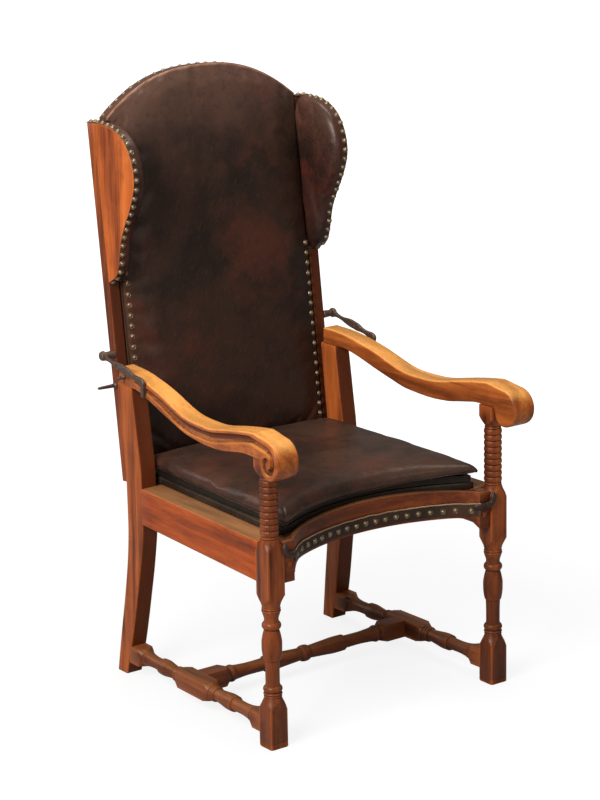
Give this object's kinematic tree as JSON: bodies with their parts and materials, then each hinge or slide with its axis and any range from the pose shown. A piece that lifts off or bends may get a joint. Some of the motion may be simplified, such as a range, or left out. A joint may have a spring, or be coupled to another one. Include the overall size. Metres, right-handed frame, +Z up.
{
  "type": "reclining armchair",
  "caption": "Wing armchair with turned legs, wavy scrolled arms, hollowed seat front, leather upholstery and a hinged back that reclines and is held by iron hook bars.",
  "frame": {"origin": "bottom centre of the bounding box with the back upright, on the floor", "axes": "+Z up, the chair faces -Y, the sitter's left is +X"},
  "size_m": [0.6408, 0.7232, 1.2517],
  "materials": {
    "oak": "waxed",
    "dark_oak": "waxed",
    "honey_oak": "worn and waxed",
    "plain_wood": "bare",
    "hide": "aged semi-gloss",
    "canvas": "matte",
    "iron": "rusted"
  },
  "bodies": {
    "frame": {"front_leg_right": "dark_oak", "front_leg_left": "dark_oak", "rear_leg_right": "oak", "rear_leg_left": "oak", "side_stretcher_right": "dark_oak", "side_stretcher_left": "dark_oak", "cross_stretcher": "dark_oak", "seat_rail_right": "oak", "seat_rail_left": "oak", "seat_rail_front": "oak", "seat_rail_rear": "oak", "front_rail_leather": "hide", "slip_rail_right": "plain_wood", "slip_rail_left": "plain_wood", "slip_rail_front": "plain_wood", "slip_rail_rear": "plain_wood", "seat_webbing": "canvas", "seat_pad": "hide", "seat_cushion": "hide", "arm_right": "honey_oak", "arm_left": "honey_oak", "catch_pin_right": "iron", "catch_pin_left": "iron", "hinge_frame_leaf_right": "iron", "hinge_frame_leaf_left": "iron", "hinge_pin_right": "iron", "hinge_pin_left": "iron"},
    "back": {"back_stile_right": "oak", "back_stile_left": "oak", "inner_stile_right": "plain_wood", "inner_stile_left": "plain_wood", "back_bottom_rail": "plain_wood", "back_middle_rail": "plain_wood", "crest_rail": "plain_wood", "back_webbing": "canvas", "back_panel": "hide", "back_cover": "hide", "crest_leather": "hide", "wing_board_right": "oak", "wing_board_left": "oak", "wing_pad_right": "hide", "wing_pad_left": "hide", "hinge_back_leaf_right": "iron", "hinge_back_leaf_left": "iron", "bar_bolt_right": "iron", "bar_bolt_left": "iron", "stile_peg_right": "iron", "stile_peg_left": "iron"},
    "hook_bar_right": {"hook_bar_right": "iron"},
    "hook_bar_left": {"hook_bar_left": "iron"}
  },
  "joints": [
    {"name": "back_recline", "type": "hinge", "parent": "frame", "child": "back", "pos_m": [0, 0.22846, 0.4265], "axis": [-1, 0, 0], "range_deg": [0, 18]},
    {"name": "hook_bar_right_lift", "type": "hinge", "parent": "back", "child": "hook_bar_right", "pos_m": [-0.295, 0.27767, 0.68454], "axis": [-1, 0, 0], "range_deg": [0, 70]},
    {"name": "hook_bar_left_lift", "type": "hinge", "parent": "back", "child": "hook_bar_left", "pos_m": [0.295, 0.27767, 0.68454], "axis": [-1, 0, 0], "range_deg": [0, 70]}
  ]
}
